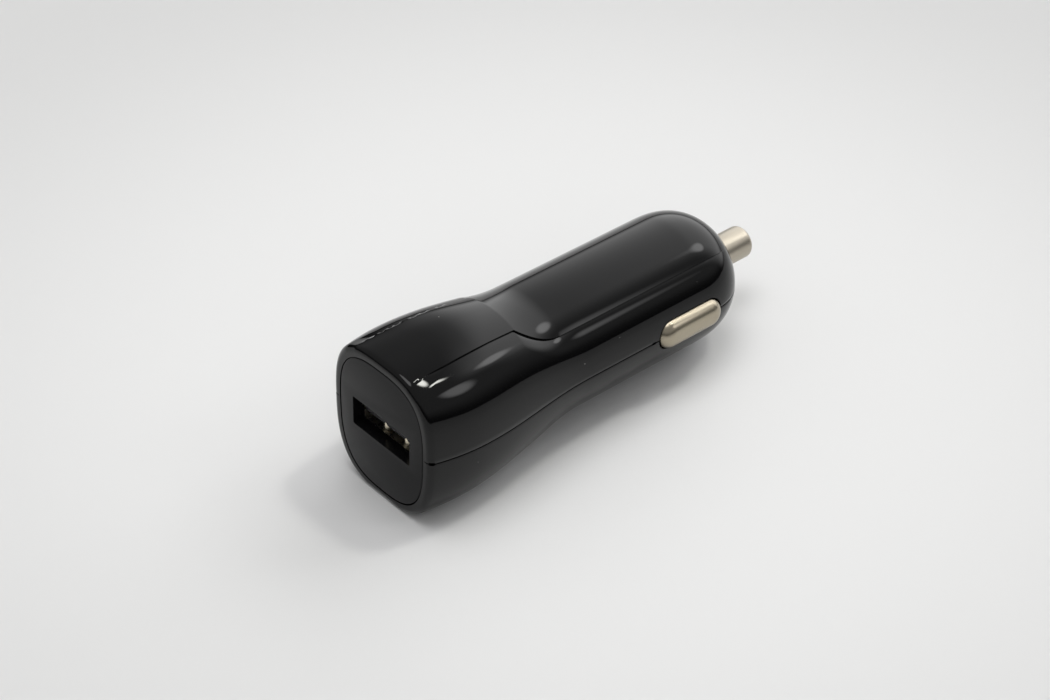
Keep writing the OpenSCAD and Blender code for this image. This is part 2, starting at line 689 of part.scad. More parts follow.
module side_contact() {
    crown = barrel_r + pad_proud;
    lip_r = bore_r - lip_gap;
    run = pad_len / 2 - pad_w / 2;
    base = lip_r - pad_sheet;
    color([0.8, 0.77, 0.7]) difference() {
        union() {
            translate([pad_pos, 0, 0]) rotate([90, 0, 0]) {
                for (x = [-run, run]) translate([x, 0, 0]) rotate_extrude()
                    rounded_profile(pad_w / 2, crown, pad_round);
                rotate([90, 0, 90]) translate([0, 0, -run]) linear_extrude(2 * run)
                    for (side = [0, 1]) mirror([side, 0]) rounded_profile(pad_w / 2, crown, pad_round);
            }
            intersection() {
                translate([pad_pos - pad_len / 2 - lip_w, 0, 0]) rotate([0, 90, 0])
                    cylinder(r = lip_r, h = pad_len + 2 * lip_w);
                translate([pad_pos - pad_len, -barrel_r, -pad_w / 2 - lip_w])
                    cube([2 * pad_len, barrel_r, pad_w + 2 * lip_w]);
            }
        }
        rotate([0, 90, 0]) cylinder(r = base, h = nose_x);
        pad_prism(-pad_sheet, -base - 1, 0);
        translate([pad_pos, 0, 0]) rotate([90, 0, 0]) {
            for (x = [-run, run]) translate([x, 0, 0]) rotate_extrude()
                rounded_profile(pad_w / 2 - pad_sheet, crown - pad_sheet, pad_round - pad_sheet);
            rotate([90, 0, 90]) translate([0, 0, -run]) linear_extrude(2 * run)
                for (side = [0, 1]) mirror([side, 0])
                    rounded_profile(pad_w / 2 - pad_sheet, crown - pad_sheet, pad_round - pad_sheet);
        }
    }
}
module right_side_contact() { side_contact(); }
module left_side_contact() { mirror([0, 1, 0]) side_contact(); }

// The spring's rim meets the rounded roof of the contact below its crown
roof_r = pad_round - pad_sheet;
roof_reach = max(side_coil_r + pad_round - pad_w / 2, 0);
roof_drop = roof_r - sqrt(max(sq(roof_r) - sq(roof_reach), 0));
module side_spring() {
    start = strap_t / 2 + play;
    color([0.7, 0.7, 0.72]) translate([pad_pos, -start, 0]) rotate([90, 0, 0])
        coil(side_coil_r, side_wire, side_turns,
            barrel_r + pad_proud - pad_sheet - roof_drop - play - start);
}
module right_side_spring() { side_spring(); }
module left_side_spring() { rotate([0, 0, 180]) translate([-2 * pad_pos, 0, 0]) side_spring(); }

module ground_strap() {
    w = side_coil_r + strap_edge;
    color([0.8, 0.65, 0.3]) {
        translate([pad_pos - w, -strap_t / 2, board_top]) cube([2 * w, strap_t, w - board_top]);
        translate([pad_pos - w, -strap_t / 2, board_top]) cube([2 * w, 3, strap_t]);
        translate([pad_pos, spigot_len + strap_t / 2, 0]) rotate([90, 0, 0])
            cylinder(r = side_coil_r - side_wire - 0.12, h = 2 * spigot_len + strap_t);
    }
}

module on_board(s, y) { translate([face_x + s, y, board_top]) children(); }

in_cap_s = flare_len + 2.2;
module input_capacitor() {
    color([0.12, 0.12, 0.16]) on_board(in_cap_s, 0) translate([0, 0, in_cap_r + play]) {
        rotate([0, 90, 0]) rotate_extrude() polygon([[0, 0], [in_cap_r - 0.3, 0], [in_cap_r, 0.3],
            [in_cap_r, 1.2], [in_cap_r - 0.35, 1.5], [in_cap_r, 1.8], [in_cap_r, in_cap_len - 0.3],
            [in_cap_r - 0.3, in_cap_len], [0, in_cap_len]]);
        for (y = [-1.75, 1.75]) {
            translate([-0.9, y, 0]) rotate([0, 90, 0]) cylinder(r = 0.3, h = 1);
            translate([-0.9, y, -in_cap_r - play]) cylinder(r = 0.3, h = in_cap_r + play);
            translate([-0.9, y, 0]) sphere(r = 0.3);
        }
    }
}

cap_base_t = 0.8;
out_cap_s = 20.7;
out_cap_y = -3.6;
module output_capacitor_base() {
    r = out_cap_r + 0.15;
    color([0.06, 0.06, 0.06]) on_board(out_cap_s, out_cap_y) linear_extrude(cap_base_t)
        polygon([[-r, -r + 1], [-r + 1, -r], [r, -r], [r, r], [-r + 1, r], [-r, r - 1]]);
}
module output_capacitor() {
    color([0.75, 0.75, 0.77]) on_board(out_cap_s, out_cap_y) translate([0, 0, cap_base_t])
        rotate_extrude() polygon([[0, 0], [out_cap_r - 0.2, 0], [out_cap_r - 0.05, 0.9],
            [out_cap_r - 0.4, 1.3], [out_cap_r, 1.7], [out_cap_r, out_cap_h - 0.4],
            [out_cap_r - 0.4, out_cap_h], [0, out_cap_h]]);
}

choke_s = 27.6;
choke_y = 3.2;
choke_rim = 0.9;
module choke_core() {
    color([0.2, 0.2, 0.21]) on_board(choke_s, choke_y) rotate_extrude()
        polygon([[0, 0], [choke_r, 0], [choke_r, choke_rim], [choke_r / 2, choke_rim],
            [choke_r / 2, choke_h - choke_rim], [choke_r, choke_h - choke_rim],
            [choke_r, choke_h], [0, choke_h]]);
}
module choke_winding() {
    rows = 6;
    d = (choke_h - 2 * choke_rim) / rows;
    mid = choke_r - d;
    color([0.75, 0.4, 0.2]) on_board(choke_s, choke_y) rotate_extrude() {
        translate([choke_r / 2, choke_rim]) square([mid - choke_r / 2, choke_h - 2 * choke_rim]);
        for (i = [0 : rows - 1]) translate([mid, choke_rim + d * (i + 0.5)])
            intersection() { circle(d / 2); translate([-d, -d]) square(2 * d); }
    }
}

reg_s = 20.4;
reg_y = 3.4;
lead_t = 0.2;
module regulator_body() {
    color([0.08, 0.08, 0.08]) on_board(reg_s, reg_y)
        translate([-reg_len / 2, -reg_wid / 2, 0.75 * lead_t]) cube([reg_len, reg_wid, reg_high]);
}
module regulator_leads() {
    side_y = reg_wid / 2;
    knee = reg_high / 2 - lead_t / 2;
    color([0.75, 0.75, 0.75]) on_board(reg_s, reg_y) for (i = [-1.5 : 1.5], side = [0, 1])
        translate([reg_pitch * i - lead_t, 0, 0]) mirror([0, side, 0])
            rotate([90, 0, 90]) linear_extrude(2 * lead_t) polygon([
                [side_y, knee + lead_t], [side_y + 0.36 * reg_foot, knee + lead_t],
                [side_y + 0.55 * reg_foot, lead_t], [side_y + reg_foot, lead_t],
                [side_y + reg_foot, 0], [side_y + 0.41 * reg_foot, 0],
                [side_y + 0.23 * reg_foot, knee], [side_y, knee]]);
}

diode_s = 27.2;
diode_y = -4;
tab_l = 1;
module rectifier_diode() {
    color([0.09, 0.09, 0.09]) on_board(diode_s, diode_y) {
        translate([-diode_len / 2, -diode_wid / 2, tab_l / 5]) cube([diode_len, diode_wid, diode_high]);
        for (side = [-1, 1]) translate([side * diode_len / 2 - tab_l / 2, -diode_wid / 4, 0])
            cube([tab_l, diode_wid / 2, tab_l / 2]);
    }
}
fuse_s = 45.3;
module input_fuse() {
    color([0.25, 0.4, 0.25]) on_board(fuse_s, 0)
        translate([-fuse_wid / 2, -fuse_len / 2, 0]) cube([fuse_wid, fuse_len, fuse_high]);
}

// Chip parts hang under the board in two rows, each with metal ends below its middle
module chip(s, y, tone) {
    color(tone) translate([face_x + s, y, board_low - chip_high]) difference() {
        translate([-chip_wid / 2, -chip_len / 2, 0]) cube([chip_wid, chip_len, chip_high]);
        translate([-chip_wid, -0.3 * chip_len, -chip_high])
            cube([2 * chip_wid, 0.6 * chip_len, 1.1 * chip_high]);
    }
}
module chip_resistor_1() { chip(16, 2.2, [0.1, 0.1, 0.1]); }
module chip_resistor_2() { chip(18.4, 2.2, [0.1, 0.1, 0.1]); }
module chip_resistor_3() { chip(20.8, 2.2, [0.1, 0.1, 0.1]); }
module chip_capacitor_1() { chip(28.4, -1.8, [0.6, 0.5, 0.38]); }
module chip_capacitor_2() { chip(30.8, -1.8, [0.6, 0.5, 0.38]); }
module chip_capacitor_3() { chip(33.2, -1.8, [0.6, 0.5, 0.38]); }

upper_shell();
lower_shell();
face_plate();
usb_shell();
usb_tongue();
usb_contact_1();
usb_contact_2();
usb_contact_3();
usb_contact_4();
circuit_board();
tip_contact();
tip_spring();
tip_spring_seat();
left_side_contact();
right_side_contact();
left_side_spring();
right_side_spring();
ground_strap();
input_capacitor();
output_capacitor();
output_capacitor_base();
choke_core();
choke_winding();
regulator_body();
regulator_leads();
rectifier_diode();
input_fuse();
chip_resistor_1();
chip_resistor_2();
chip_resistor_3();
chip_capacitor_1();
chip_capacitor_2();
chip_capacitor_3();
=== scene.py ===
from math import asin, cos, degrees, pi, radians, sin, sqrt

import bpy
from mathutils import Matrix, Vector


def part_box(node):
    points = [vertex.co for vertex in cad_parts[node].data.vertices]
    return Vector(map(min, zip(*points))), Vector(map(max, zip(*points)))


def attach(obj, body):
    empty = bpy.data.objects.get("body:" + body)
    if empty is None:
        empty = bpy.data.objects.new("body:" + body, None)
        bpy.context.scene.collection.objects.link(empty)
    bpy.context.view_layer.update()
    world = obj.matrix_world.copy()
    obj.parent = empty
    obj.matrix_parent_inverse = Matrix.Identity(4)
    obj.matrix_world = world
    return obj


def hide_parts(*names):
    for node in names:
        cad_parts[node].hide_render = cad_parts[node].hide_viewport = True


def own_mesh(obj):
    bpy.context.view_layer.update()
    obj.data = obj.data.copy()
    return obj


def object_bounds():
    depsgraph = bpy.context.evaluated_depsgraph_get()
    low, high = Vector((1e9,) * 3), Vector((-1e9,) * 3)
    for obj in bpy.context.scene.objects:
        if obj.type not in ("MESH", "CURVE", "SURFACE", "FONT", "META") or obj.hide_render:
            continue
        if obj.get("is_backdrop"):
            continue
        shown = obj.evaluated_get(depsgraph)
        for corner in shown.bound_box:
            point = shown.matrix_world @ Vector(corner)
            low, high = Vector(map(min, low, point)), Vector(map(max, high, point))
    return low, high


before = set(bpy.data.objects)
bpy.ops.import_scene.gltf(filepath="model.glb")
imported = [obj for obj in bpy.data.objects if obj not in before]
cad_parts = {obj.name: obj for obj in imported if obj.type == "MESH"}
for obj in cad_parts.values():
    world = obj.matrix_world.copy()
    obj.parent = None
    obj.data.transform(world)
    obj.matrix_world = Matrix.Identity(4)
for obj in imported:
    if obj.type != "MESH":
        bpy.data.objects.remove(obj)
cad_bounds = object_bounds()
bpy.ops.object.select_all(action="DESELECT")
bpy.context.scene.view_settings.view_transform = "Standard"

# The camera stands in front of the port, to the right of it and above it, as in the
# photograph: a long lens, turned a little about its own axis.
MM = 0.001
VIEW_AZIMUTH = radians(-42.59)
VIEW_ELEVATION = radians(37.44)
VIEW_ROLL = radians(1.76)
PICTURE_WIDTH = 1050
PICTURE_HEIGHT = 700
FOCAL_PIXELS = 2300
SENSOR_WIDTH = 36
FACE_CENTRE = Vector((-34 * MM, 0, 0))
FACE_PIXEL = (380.89, 427.88)
FACE_DEPTH = 0.31977

view_back = Vector((sin(VIEW_AZIMUTH) * cos(VIEW_ELEVATION),
                    -cos(VIEW_AZIMUTH) * cos(VIEW_ELEVATION), sin(VIEW_ELEVATION)))
level_right = Vector((0, 0, 1)).cross(view_back).normalized()
level_up = view_back.cross(level_right)
view_right = cos(VIEW_ROLL) * level_right + sin(VIEW_ROLL) * level_up
view_up = cos(VIEW_ROLL) * level_up - sin(VIEW_ROLL) * level_right
face_right = (FACE_PIXEL[0] - PICTURE_WIDTH / 2) / FOCAL_PIXELS * FACE_DEPTH
face_up = (PICTURE_HEIGHT / 2 - FACE_PIXEL[1]) / FOCAL_PIXELS * FACE_DEPTH
view_point = FACE_CENTRE - face_right * view_right - face_up * view_up + FACE_DEPTH * view_back

bpy.ops.object.camera_add(location=view_point)
camera = bpy.context.object
camera.name = "camera"
camera.rotation_euler = Matrix((view_right, view_up, view_back)).transposed().to_euler()
camera.data.sensor_width = SENSOR_WIDTH
camera.data.lens = FOCAL_PIXELS / PICTURE_WIDTH * SENSOR_WIDTH
camera.data.clip_start = 0.01
bpy.context.scene.camera = camera


# The plug lies on a white table top, on the flat under its grip and the rear of its
# barrel, so the table is tilted a little against the plug's own frame.
REST_FRONT = Vector((-34, 0, -12.79)) * MM
REST_REAR = Vector((20, 0, -10.46)) * MM
FLOOR_SIZE = 6
# The table's colour is painted lighter in a pool round the middle and dimmer further out: a painted pool of light.
FLOOR_PALE = (0.825, 0.825, 0.825, 1)
FLOOR_PAINTED_SHADE = (0.685, 0.685, 0.685, 1)
PAINTED_LIGHT_MIDDLE = (0.045, 0.006, 0)
PAINTED_LIGHT_FADE = (0.04, 0.14)


def new_material(name):
    material = bpy.data.materials.new(name)
    material.use_nodes = True
    nodes = material.node_tree.nodes
    return material, nodes, material.node_tree.links, nodes["Principled BSDF"]


bpy.ops.mesh.primitive_grid_add(x_subdivisions=8, y_subdivisions=8, size=FLOOR_SIZE,
                                location=REST_FRONT)
floor = bpy.context.object
floor.name = "floor"
floor_run = REST_REAR - REST_FRONT
floor.rotation_euler = (0, -asin(floor_run.z / floor_run.length), 0)
floor_material, nodes, links, shader = new_material("table_top")
grain = nodes.new("ShaderNodeTexNoise")
grain.inputs["Scale"].default_value = 900
grain_bump = nodes.new("ShaderNodeBump")
grain_bump.inputs["Strength"].default_value = 0.02
grain_bump.inputs["Distance"].default_value = 0.0001
links.new(grain.outputs["Fac"], grain_bump.inputs["Height"])
links.new(grain_bump.outputs["Normal"], shader.inputs["Normal"])
# Painted pool of light: the table's colour goes from pale at the middle to dim further out.
away = nodes.new("ShaderNodeVectorMath")
away.operation = "DISTANCE"
away.inputs[1].default_value = PAINTED_LIGHT_MIDDLE
links.new(nodes.new("ShaderNodeTexCoord").outputs["Object"], away.inputs[0])
fall = nodes.new("ShaderNodeMapRange")
fall.interpolation_type = "SMOOTHSTEP"
fall.inputs["From Min"].default_value, fall.inputs["From Max"].default_value = PAINTED_LIGHT_FADE
links.new(away.outputs["Value"], fall.inputs["Value"])
painted_light_pool = nodes.new("ShaderNodeMix")
painted_light_pool.data_type = "RGBA"
painted_light_pool.inputs["A"].default_value = FLOOR_PALE
painted_light_pool.inputs["B"].default_value = FLOOR_PAINTED_SHADE
links.new(fall.outputs["Result"], painted_light_pool.inputs["Factor"])
links.new(painted_light_pool.outputs["Result"], shader.inputs["Base Color"])
shader.inputs["Roughness"].default_value = 0.7
shader.inputs["Specular IOR Level"].default_value = 0.2
floor.data.materials.append(floor_material)
floor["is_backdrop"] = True


# The light: one wide soft lamp overhead, and a room that is dark low down, with a pale
# wall at the far end, two soft windows and a small bright spot, which the plastic mirrors.
WINDOWS = (((0.47, -0.63, 0.62), 10, 3.4), ((0.69, -0.24, 0.68), 7.5, 5.2))
WINDOW_CORE = 3
SPOT_DIRECTION = Vector((0.41, -0.1, 0.907)).normalized()
SPOT_EDGE, SPOT_CORE = 5, 1.5
CEILING_RISE = (0.05, 0.45)
WALL_END, WALL_SIDE, WALL_RISE = (0.46, 0.68), (-0.5, -0.15), (0, 0.2)
DARK_COLOUR = (0.03, 0.03, 0.03, 1)
ROOM_COLOUR = (0.4, 0.4, 0.4, 1)
WALL_COLOUR = (2.05, 2.05, 2.05, 1)
SPOT_COLOUR = (34, 34, 32, 1)
LAMP_PLACE = Vector((-0.1, 0.08, 0.8))
LAMP_SIZE, LAMP_SPREAD, LAMP_POWER = 0.55, 120, 1

world = bpy.data.worlds.new("room")
bpy.context.scene.world = world
world.use_nodes = True
nodes = world.node_tree.nodes
links = world.node_tree.links
sky = nodes["Background"]
direction = nodes.new("ShaderNodeTexCoord").outputs["Generated"]


def toward(target, start, full):
    """How near a direction of the room is to target, from 0 at start to 1 at full"""
    dot = nodes.new("ShaderNodeVectorMath")
    dot.operation = "DOT_PRODUCT"
    dot.inputs[1].default_value = target
    links.new(direction, dot.inputs[0])
    ramp = nodes.new("ShaderNodeMapRange")
    ramp.interpolation_type = "SMOOTHSTEP"
    ramp.inputs["From Min"].default_value = start
    ramp.inputs["From Max"].default_value = full
    links.new(dot.outputs["Value"], ramp.inputs["Value"])
    return ramp.outputs["Result"]


def times(first, second):
    product = nodes.new("ShaderNodeMath")
    product.operation = "MULTIPLY"
    links.new(first, product.inputs[0])
    links.new(second, product.inputs[1])
    return product.outputs["Value"]


def mixed(share, under, over):
    mix = nodes.new("ShaderNodeMix")
    mix.data_type = "RGBA"
    links.new(share, mix.inputs["Factor"])
    for colour, socket in ((under, mix.inputs["A"]), (over, mix.inputs["B"])):
        if isinstance(colour, tuple):
            socket.default_value = colour
        else:
            links.new(colour, socket)
    return mix.outputs["Result"]


wall_share = times(toward((1, 0, 0), *WALL_END), toward((0, 1, 0), *WALL_SIDE))
wall_share = times(wall_share, toward((0, 0, 1), *WALL_RISE))
spot_share = toward(SPOT_DIRECTION, cos(radians(SPOT_EDGE)), cos(radians(SPOT_CORE)))
room = mixed(toward((0, 0, 1), *CEILING_RISE), DARK_COLOUR, ROOM_COLOUR)
room = mixed(wall_share, room, WALL_COLOUR)
for place, width, bright in WINDOWS:
    edge, core = cos(radians(width)), cos(radians(WINDOW_CORE))
    window_share = toward(Vector(place).normalized(), edge, core)
    room = mixed(window_share, room, (bright, bright, bright, 1))
room = mixed(spot_share, room, SPOT_COLOUR)
links.new(room, sky.inputs["Color"])

bpy.ops.object.light_add(type="AREA", location=LAMP_PLACE)
lamp = bpy.context.object
lamp.name = "overhead_lamp"
lamp.data.shape = "DISK"
lamp.data.size = LAMP_SIZE
lamp.data.spread = radians(LAMP_SPREAD)
lamp.data.energy = LAMP_POWER
lamp.rotation_euler = LAMP_PLACE.to_track_quat("Z", "Y").to_euler()


# The housing: two halves moulded in polished black plastic, which meet in a fine parting
# line. The top carries a label panel that is scooped out of the grip behind a crease.
BARREL_R = 10.45
BARREL_LEN = 20
NOSE_LEN = 11.2
NOSE_POWER = 2.8
NOSE_FLOOR = 2.8
GRIP_LEN = 34
FLARE_LEN = 30
FACE_HALF_W, BELLY_HALF_W, BELLY_POS = 10.6, 12.15, 9.5
FACE_TOP, CROWN_TOP, CROWN_POS = 11.4, 12, 12
FACE_LOW, KEEL_LOW, KEEL_POS = 13, 11.85, 20
REST_LOW, LAND_HALF, LAND_HOLLOW = 12.79, 3.45, 0.06
SQUARE_TOP, SQUARE_LOW, SQUARE_START, SQUARE_INNER = 0.97, 0.87, 4, 0.9
RIM_ROUND = 0.8
SCOOP_POS, SCOOP_LEN = 19.9, 7
CREASE_FACE, CREASE_SCOOP, CREASE_BARREL = 61.5, 64, 45
CREASE_RUN, CREASE_STEP, CREASE_LEAN, CREASE_FADE = 7, 0.25, 0.4, 0.62
FACET_FACE, FACET_LEN, EDGE_TURN = 49.5, 7, 1.6
FLANK_ANGLE = 15
WALL = 1.5
NOSE_WALL = 1.2
PLATE_SEAT, PLATE_POCKET = 1.38, 3
GROOVE_HALF = 0.08
GROOVE_DEPTH = 0.5
GROOVE_ROUND = 0.06
PIN_HOLE_R = 2.7

REST_RISE = (REST_LOW - BARREL_R) / (GRIP_LEN + BARREL_LEN)
BORE_R = BARREL_R - WALL
STOP_X = BARREL_LEN + NOSE_LEN - NOSE_FLOOR


def clamp(value):
    return min(max(value, 0), 1)


def ease(s, start, end):
    return (1 + cos(pi * clamp((s - start) / (end - start)))) / 2


def half_w(s):
    if s < BELLY_POS:
        return BELLY_HALF_W - (BELLY_HALF_W - FACE_HALF_W) * (1 - s / BELLY_POS) ** 2
    return BARREL_R + (BELLY_HALF_W - BARREL_R) * ease(s, BELLY_POS, FLARE_LEN)


def top_h(s):
    if s < CROWN_POS:
        return CROWN_TOP - (CROWN_TOP - FACE_TOP) * (1 - s / CROWN_POS) ** 2
    return BARREL_R + (CROWN_TOP - BARREL_R) * ease(s, CROWN_POS, FLARE_LEN)


def low_h(s):
    if s < KEEL_POS:
        return FACE_LOW - (FACE_LOW - KEEL_LOW) * s / KEEL_POS
    return BARREL_R + (KEEL_LOW - BARREL_R) * ease(s, KEEL_POS, FLARE_LEN)


def top_n(s):
    return 2 + SQUARE_TOP * (1 - min(s / FLARE_LEN, 1)) ** 2


def low_n(s):
    return 2 + SQUARE_LOW * ease(s, SQUARE_START, FLARE_LEN)


def section_r(a, h, n, angle):
    across = (abs(cos(radians(angle))) / a) ** n
    upward = (abs(sin(radians(angle))) / h) ** n
    return (across + upward) ** (-1 / n)


def scoop(s):
    return (1 - clamp((s - SCOOP_POS) / SCOOP_LEN)) ** 2


def side_r(s, angle, inset=0):
    return section_r(half_w(s) - inset, top_h(s) - inset, top_n(s), angle)


def low_r(s, angle, inset=0):
    return section_r(half_w(s) - inset, low_h(s) - inset, low_n(s), angle)


def panel_r(s, angle, inset=0):
    front = min(s, SCOOP_POS)
    share = scoop(s)
    width = half_w(s) if s < SCOOP_POS else BARREL_R + (half_w(front) - BARREL_R) * share
    height = top_h(s) if s < SCOOP_POS else BARREL_R + (top_h(front) - BARREL_R) * share
    return section_r(width - inset, height - inset, top_n(s), angle)


def crease(s):
    if s < SCOOP_POS:
        return CREASE_FACE + (CREASE_SCOOP - CREASE_FACE) * s / SCOOP_POS
    return CREASE_BARREL + (CREASE_SCOOP - CREASE_BARREL) * scoop(s)


def dome_share(x):
    return sqrt(max(1 - (max(x - BARREL_LEN, 0) / NOSE_LEN) ** NOSE_POWER, 0))


def step_share(s):
    """The crease grows from nothing at the face and fades away again on the nose"""
    beyond = (s - GRIP_LEN - BARREL_LEN) / (NOSE_LEN * CREASE_FADE)
    return (1 - ease(s, 0, CREASE_RUN)) * (1 - clamp(beyond) ** 2)


def facet_edge(s):
    """Lower edge of the flat facet that lies under the crease at the rim"""
    growth = crease(FACET_LEN) - EDGE_TURN - FACET_FACE
    return min(crease(s) - EDGE_TURN, FACET_FACE + growth * s / FACET_LEN)


def flank_r(s, angle, inset):
    bend = crease(s)
    hollow = clamp((bend - angle) / FLANK_ANGLE)
    drop = side_r(s, bend) - panel_r(s, bend) + CREASE_STEP * step_share(s)
    return side_r(s, angle, inset) - drop * (1 - hollow) ** 2


def upper_r(s, angle, inset):
    bend, edge = crease(s), facet_edge(s)
    if angle >= bend + CREASE_LEAN:
        radius = panel_r(s, angle, inset)
    elif edge < angle < bend:
        low, high = flank_r(s, edge, inset), flank_r(s, bend, inset)
        radius = (low * high * sin(radians(bend - edge))
                  / (low * sin(radians(angle - edge)) + high * sin(radians(bend - angle))))
    else:
        radius = flank_r(s, angle, inset)
    return radius * dome_share(s - GRIP_LEN)


def lower_r(s, angle, inset):
    return low_r(s, angle, inset) * dome_share(s - GRIP_LEN)


def spread(start, end, count):
    return [start + (end - start) * i / count for i in range(count + 1)]


HOLE_X = BARREL_LEN + NOSE_LEN * (1 - (PIN_HOLE_R / BARREL_R) ** 2) ** (1 / NOSE_POWER)
rim_stations = [(RIM_ROUND * (1 - cos(a)), RIM_ROUND * (1 - sin(a))) for a in spread(0, pi / 2, 6)]
body_stations = [(s, 0) for s in
                 spread(RIM_ROUND, FACET_LEN, 12)[1:] + spread(FACET_LEN, SCOOP_POS - 0.04, 22)[1:]
                 + spread(SCOOP_POS, SCOOP_POS + SCOOP_LEN, 24) + spread(27, GRIP_LEN, 10)[1:]
                 + spread(GRIP_LEN, GRIP_LEN + BARREL_LEN, 24)[1:]]
nose_stations = [(GRIP_LEN + BARREL_LEN + (HOLE_X - BARREL_LEN) * sin(a), 0)
                 for a in spread(0, pi / 2, 28)[1:]]
STATIONS = rim_stations + body_stations + nose_stations
POCKET_ROWS = 12


def inner_point(row, angle, height):
    """Inside of the wall: the plate's seat, the bore, and the flange's pocket in the nose"""
    s = STATIONS[row][0]
    x = s - GRIP_LEN
    beyond = row - (len(STATIONS) - len(nose_stations))
    if beyond >= 0:
        last = len(nose_stations) - 1 - POCKET_ROWS
        x = BARREL_LEN + (STOP_X - BARREL_LEN) * min((beyond + 1) / (last + 1), 1)
        radius = min(BORE_R, BARREL_R * dome_share(x) - NOSE_WALL)
        radius += (PIN_HOLE_R - radius) * clamp((beyond - last) / POCKET_ROWS)
    else:
        depth = PLATE_SEAT if s < PLATE_POCKET else WALL
        power = 2 + (top_n(s) - 2) * SQUARE_INNER
        radius = section_r(half_w(s) - depth, height(s) - depth, power, angle)
    return x, radius


def fitted_grid(name, rows, columns, place):
    """A grid primitive whose points are then set in place, row by row and column by column"""
    bpy.ops.mesh.primitive_grid_add(x_subdivisions=rows - 1, y_subdivisions=columns - 1, size=1)
    piece = bpy.context.object
    piece.name = name
    for vertex in piece.data.vertices:
        row = round((vertex.co.x + 0.5) * (rows - 1))
        column = round((vertex.co.y + 0.5) * (columns - 1))
        vertex.co = Vector(place(row, column)) * MM
    bpy.ops.object.mode_set(mode="EDIT")
    bpy.ops.mesh.select_all(action="SELECT")
    bpy.ops.mesh.remove_doubles(threshold=0.0005 * MM)
    bpy.ops.mesh.normals_make_consistent(inside=False)
    bpy.ops.object.mode_set(mode="OBJECT")
    return piece


SKIN_COLUMNS = 96
BUTT_COLUMNS = 3


def half_shell(name, side, outer_r, height, bends):
    """A half's wall as one closed skin: outside, groove, butt joint and inside"""
    last = len(STATIONS) - 1
    count = SKIN_COLUMNS + 2 * BUTT_COLUMNS
    lips = ((GROOVE_DEPTH, 0), (GROOVE_DEPTH, GROOVE_HALF), (GROOVE_ROUND / 2, GROOVE_HALF))

    def skin_angle(s, column):
        share = column / (SKIN_COLUMNS - 1)
        low = degrees(asin((GROOVE_HALF + GROOVE_ROUND) / half_w(s)))
        if not bends:
            return low + (180 - 2 * low) * share
        bend = crease(s)
        step = min(column, SKIN_COLUMNS - 1 - column)
        # Which column lies at which angle, from the butt joint up to the middle of the top
        marks = ((0, low), (12, bend - FLANK_ANGLE), (22, facet_edge(s)), (28, bend),
                 (29, bend + CREASE_LEAN), (47, 89.3))
        for (step0, angle0), (step1, angle1) in zip(marks, marks[1:]):
            if step <= step1:
                angle = angle0 + (angle1 - angle0) * (step - step0) / (step1 - step0)
                break
        return angle if step == column else 180 - angle

    def place(row, column):
        closing = row in (0, last + 2)
        station = min(max(row - 1, 0), last)
        s, inset = STATIONS[station]
        column = column % (2 * count)
        outside = column < count
        step = column if outside else 2 * count - 1 - column
        x = s - GRIP_LEN
        edge = min(step, count - 1 - step)
        if edge < BUTT_COLUMNS:
            angle = 0 if step < BUTT_COLUMNS else 180
        else:
            angle = skin_angle(s, step - BUTT_COLUMNS)
        fold = min(angle, 180 - angle)
        inner_x, inner_radius = inner_point(station, angle, height)
        radius = outer_r(s, fold, inset)
        if edge < BUTT_COLUMNS:
            depth, off = lips[edge]
            shallow = (radius + inner_radius) / 2 if radius > inner_radius else radius
            radius = max(radius - depth, shallow)
            flank = -1 if angle == 0 else 1
            outer = Vector((x, flank * radius, side * off))
            inner = Vector((inner_x, flank * inner_radius, 0))
        else:
            turn = radians(angle)
            height_out = radius * sin(turn)
            if side < 0:
                hollow = LAND_HOLLOW * max(1 - (radius * cos(turn) / LAND_HALF) ** 2, 0)
                height_out = min(height_out, REST_LOW - REST_RISE * s - inset - hollow)
            outer = Vector((x, -radius * cos(turn), side * height_out))
            inner = Vector((inner_x, -inner_radius * cos(turn), side * inner_radius * sin(turn)))
        if closing:
            return (outer + inner) / 2
        return outer if outside else inner

    return fitted_grid(name, last + 3, 2 * count + 1, place)


upper = half_shell("upper_half", 1, upper_r, top_h, True)
lower = half_shell("lower_half", -1, lower_r, low_h, False)


def deselect():
    bpy.ops.object.select_all(action="DESELECT")


def keep_only(piece):
    deselect()
    piece.select_set(True)
    bpy.context.view_layer.objects.active = piece


def settle(piece):
    """The piece's place goes into its mesh, and its object to the origin"""
    keep_only(piece)
    bpy.ops.object.transform_apply(location=True, rotation=True, scale=True)


def smooth(piece, angle=30):
    keep_only(piece)
    bpy.ops.object.shade_smooth_by_angle(angle=radians(angle))


def cut(piece, cutter):
    """Takes the cutter's form out of the piece, and the cutter away"""
    keep_only(piece)
    modifier = piece.modifiers.new("cut", "BOOLEAN")
    modifier.operation = "DIFFERENCE"
    modifier.solver = "EXACT"
    modifier.object = cutter
    bpy.ops.object.modifier_apply(modifier=modifier.name)
    bpy.data.objects.remove(cutter)


def join(pieces, name):
    deselect()
    for piece in pieces:
        piece.select_set(True)
    bpy.context.view_layer.objects.active = pieces[0]
    bpy.ops.object.join()
    pieces[0].name = name
    return pieces[0]


def post(radius, start, end, sides=32):
    """A round post along the line from start to end, in millimetres"""
    run = Vector(end) - Vector(start)
    middle = (Vector(start) + Vector(end)) / 2 * MM
    turn = run.to_track_quat("Z", "Y").to_euler()
    bpy.ops.mesh.primitive_cylinder_add(vertices=sides, radius=radius * MM, depth=run.length * MM,
                                        location=middle, rotation=turn)
    piece = bpy.context.object
    settle(piece)
    return piece


CONTACT_POS = 16.3
CONTACT_HALF_RUN = 3.9
CONTACT_R = 2.4
SLOT_GAP = 0.18
CAPSULE_SIDES = 96


